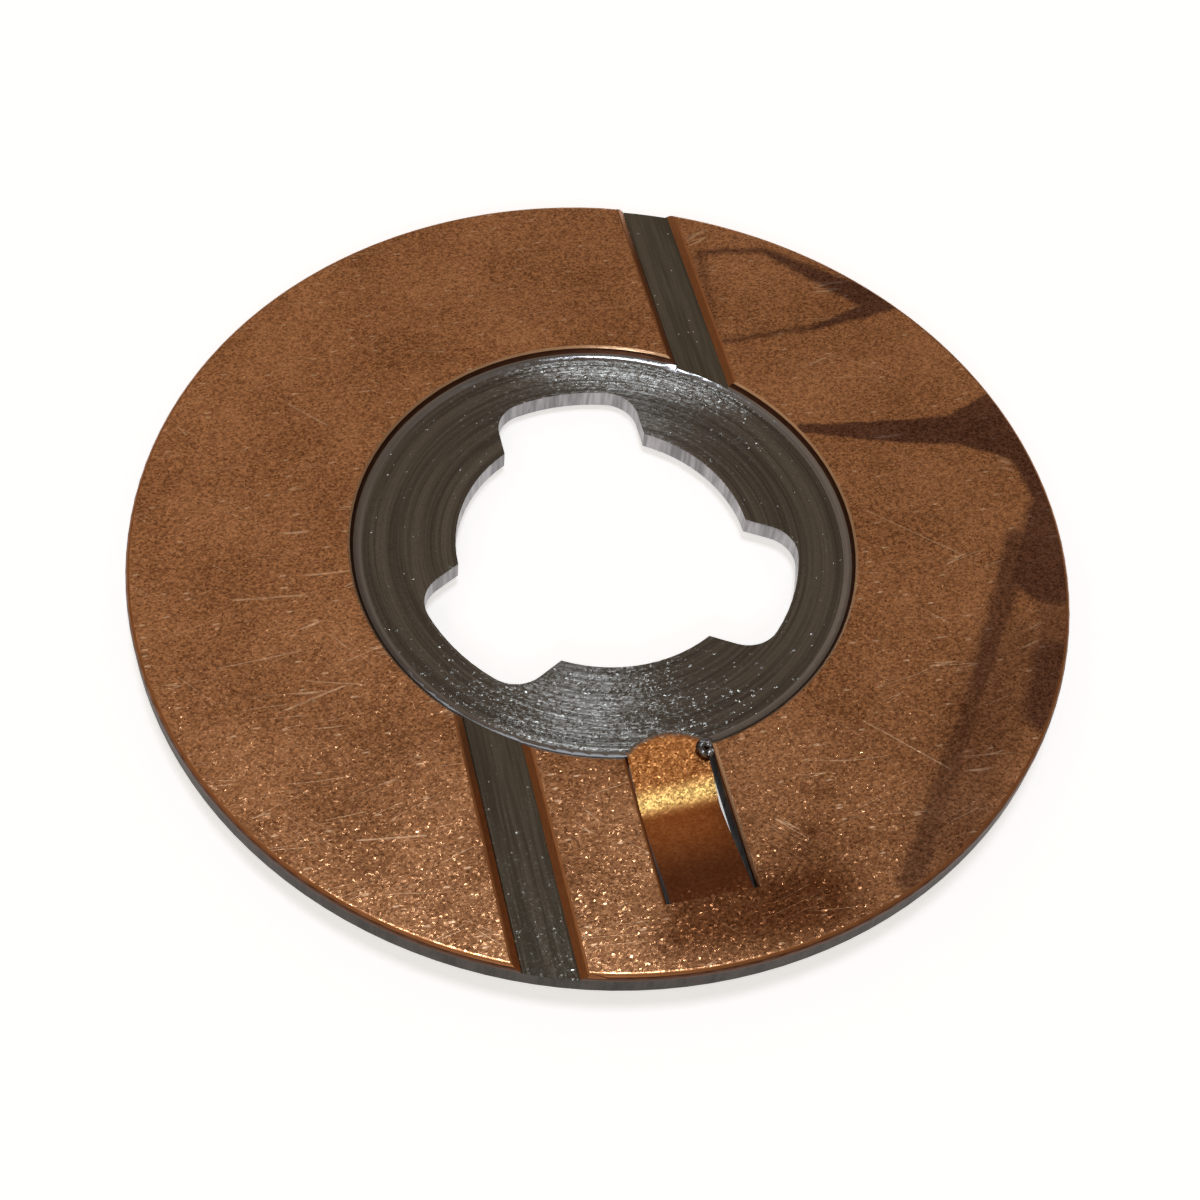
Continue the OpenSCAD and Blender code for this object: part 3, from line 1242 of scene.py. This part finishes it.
@dataclass
class TornBurr:
    """Curl of torn metal at the inner end of one slit, lying on the recess floor.

    Its faces are put in order along one direction, so that the mesh is the same each run.
    """

    sizes: WasherSizes
    centre_x: float = 2.5 * MM
    centre_y: float = -17.2 * MM
    curl_radius: float = 0.32 * MM
    wall_radius: float = 0.24 * MM
    spread: float = 1.2
    climb: float = 0.05 * MM
    sweep: float = math.radians(325)
    lump: float = 0.13 * MM
    lumps_per_mm: float = 2.2
    weld: float = 0.001 * MM
    around: int = 16
    steps: int = 36
    face_order: Triple = (1.0, 1.7, 2.3)

    def build(self) -> bpy.types.Object:
        """Sweep a round section along a rising curl, close its ends and make it lumpy.

        Returns:
            The burr.
        """
        shape = bmesh.new()
        bmesh.ops.create_circle(shape, segments=self.around, radius=self.wall_radius)
        upright = Matrix.Rotation(math.radians(90), 3, "X")
        bmesh.ops.rotate(shape, verts=shape.verts, cent=(0, 0, 0), matrix=upright)
        bmesh.ops.translate(shape, verts=shape.verts, vec=(self.curl_radius, 0, 0))
        bmesh.ops.spin(
            shape,
            geom=list(shape.edges),
            cent=(0, 0, 0),
            axis=(0, 0, 1),
            angle=self.sweep,
            steps=self.steps,
            dvec=(0, 0, self.climb / self.steps),
            use_merge=False,
            use_duplicate=False,
        )
        bmesh.ops.holes_fill(shape, edges=list(shape.edges), sides=self.around)
        bmesh.ops.remove_doubles(shape, verts=shape.verts, dist=self.weld)
        bmesh.ops.recalc_face_normals(shape, faces=shape.faces)
        for vertex in shape.verts:
            vertex.co += vertex.normal * noise.noise(vertex.co / MM * self.lumps_per_mm) * self.lump
        bmesh.ops.scale(shape, verts=shape.verts, vec=(self.spread, self.spread, 1.0))
        lowest = min(vertex.co.z for vertex in shape.verts)
        foot = Vector((self.centre_x, self.centre_y, self.sizes.recess_z - lowest))
        bmesh.ops.translate(shape, verts=shape.verts, vec=foot)
        for face in shape.faces:
            face.smooth = True
        order = Vector(self.face_order)
        shape.faces.sort(key=lambda face: order.dot(face.calc_center_median()))
        mesh = bpy.data.meshes.new("burr")
        shape.to_mesh(mesh)
        shape.free()
        burr = bpy.data.objects.new("burr", mesh)
        bpy.context.scene.collection.objects.link(burr)
        return burr

    def dress(self, burr: bpy.types.Object, kit: EffectKit) -> None:
        """Give the burr its torn steel and fix it to the washer.

        Args:
            burr: The burr.
            kit: The shared effects.
        """
        burr.data.materials.append(TORN_STEEL.material(kit))
        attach(burr, "root")
        LOG.info("%s built with %d faces", burr.name, len(burr.data.polygons))


@dataclass(frozen=True)
class SoftBox:
    """One round soft light that faces the washer, with its sizes in metres and its power in watts."""

    name: str
    place: Triple
    size: float
    power: float
    colour: Triple

    def hang(self) -> None:
        """Make the light and aim it at the origin."""
        lamp = bpy.data.lights.new(self.name, "AREA")
        lamp.shape = "DISK"
        lamp.size = self.size
        lamp.energy = self.power
        lamp.color = self.colour
        box = bpy.data.objects.new(self.name, lamp)
        box.location = self.place
        box.rotation_euler = (-Vector(self.place)).to_track_quat("-Z", "Y").to_euler()
        bpy.context.scene.collection.objects.link(box)


SOFT_BOXES = (
    SoftBox("overhead", (0.006, 0.016, 0.5), 0.12, 0.64, (0.82, 0.91, 1.0)),
    SoftBox("front_fill", (-0.3, -0.85, 0.6), 0.3, 0.8, (0.97, 0.98, 1.0)),
    SoftBox("far_strip", (0.196, 0.553, 0.125), 0.2, 0.12, (0.8, 0.9, 1.0)),
)


@dataclass
class Studio:
    """Floor, lights and camera, with lengths in metres and angles in degrees."""

    sizes: WasherSizes
    floor_half: float = 1.5
    floor_squares: int = 8
    low: Colour = (0.22, 0.17, 0.13, 1.0)
    high: Colour = (0.38, 0.295, 0.225, 1.0)
    top: Colour = (0.25, 0.195, 0.15, 1.0)
    high_span: Span = (0.35, 0.72)
    top_span: Span = (0.75, 0.97)
    side_fall: float = 0.58
    side_reach: float = 0.3
    lens: float = 54.912
    nearest: float = 0.01
    distance: float = 0.1248
    azimuth: float = -19.5
    elevation: float = 53.344
    pan: float = -0.094
    tilt: float = -2.001
    roll: float = 7.158

    def floor(self, kit: EffectKit) -> None:
        """Lay the floor under the tab's lowest line and the far rim.

        Args:
            kit: The shared effects.
        """
        far_y = self.sizes.radius - self.sizes.chamfer
        slope = math.atan2(-self.sizes.low_z, far_y - self.sizes.tab_low_y)
        mesh = bpy.data.meshes.new("floor")
        shape = bmesh.new()
        squares = self.floor_squares
        bmesh.ops.create_grid(shape, x_segments=squares, y_segments=squares, size=self.floor_half)
        bmesh.ops.rotate(shape, verts=shape.verts, cent=(0, 0, 0), matrix=Matrix.Rotation(slope, 3, "X"))
        bmesh.ops.translate(shape, verts=shape.verts, vec=(0, 0, -far_y * math.tan(slope)))
        shape.to_mesh(mesh)
        shape.free()
        floor = bpy.data.objects.new("floor", mesh)
        bpy.context.scene.collection.objects.link(floor)
        mesh.materials.append(PaleFloor().material(kit))
        LOG.info("%s laid at a slope of %.2f degrees", floor.name, math.degrees(slope))

    def surround(self) -> None:
        """Light the scene softly from all round, a little more from one side, before a pale backdrop."""
        world = bpy.data.worlds.new("studio")
        bpy.context.scene.world = world
        world.use_nodes = True
        graph = Graph(world.node_tree)
        aside, _, height = graph.split(graph.add("ShaderNodeTexCoord").outputs["Generated"])
        colour = graph.mixed(graph.ramp(height, *self.high_span), self.low, self.high)
        colour = graph.mixed(graph.ramp(height, *self.top_span), colour, self.top)
        aside = graph.math("MINIMUM", graph.math("MAXIMUM", aside, -self.side_reach), self.side_reach)
        colour = graph.scaled(colour, graph.math("MULTIPLY_ADD", aside, -self.side_fall, 1.0))
        seen = graph.add("ShaderNodeLightPath").outputs["Is Camera Ray"]
        background = world.node_tree.nodes["Background"].inputs
        graph.feed(background["Color"], graph.mixed(seen, colour, PaleFloor.colour))

    def camera(self) -> None:
        """Set the camera where the photograph was taken from."""
        azimuth, elevation = math.radians(self.azimuth), math.radians(self.elevation)
        level = Vector((math.sin(azimuth), -math.cos(azimuth), 0)) * math.cos(elevation)
        back = level + Vector((0, 0, math.sin(elevation)))
        data = bpy.data.cameras.new("camera")
        data.lens = self.lens
        data.clip_start = self.nearest
        camera = bpy.data.objects.new("camera", data)
        camera.location = Vector((0, 0, self.sizes.face_z)) + back * self.distance
        turn = (-back).to_track_quat("-Z", "Y")
        for axis, angle in (((0, 1, 0), self.pan), ((1, 0, 0), self.tilt), ((0, 0, 1), self.roll)):
            turn = turn @ Quaternion(axis, math.radians(angle))
        camera.rotation_mode = "QUATERNION"
        camera.rotation_quaternion = turn
        bpy.context.scene.collection.objects.link(camera)
        bpy.context.scene.camera = camera

    def build(self, kit: EffectKit) -> None:
        """Set up the floor, the lights, the surround and the camera.

        Args:
            kit: The shared effects.
        """
        self.floor(kit)
        self.surround()
        for box in SOFT_BOXES:
            box.hang()
        self.camera()
        bpy.context.scene.view_settings.view_transform = "Standard"


def main() -> None:
    """Load the frame, dress the washer, add the burr and set up the studio."""
    logging.basicConfig(level=logging.INFO, format="%(name)s: %(message)s")
    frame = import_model()
    sizes = WasherSizes.from_frame()
    kit = EffectKit()
    SteelBack(sizes, frame["nodes"]["steel_back"]).dress(kit)
    BronzeLining(sizes, frame["nodes"]["bronze_lining"]).dress(kit)
    torn = TornBurr(sizes)
    torn.dress(torn.build(), kit)
    Studio(sizes).build(kit)


if __name__ == "__main__":
    main()
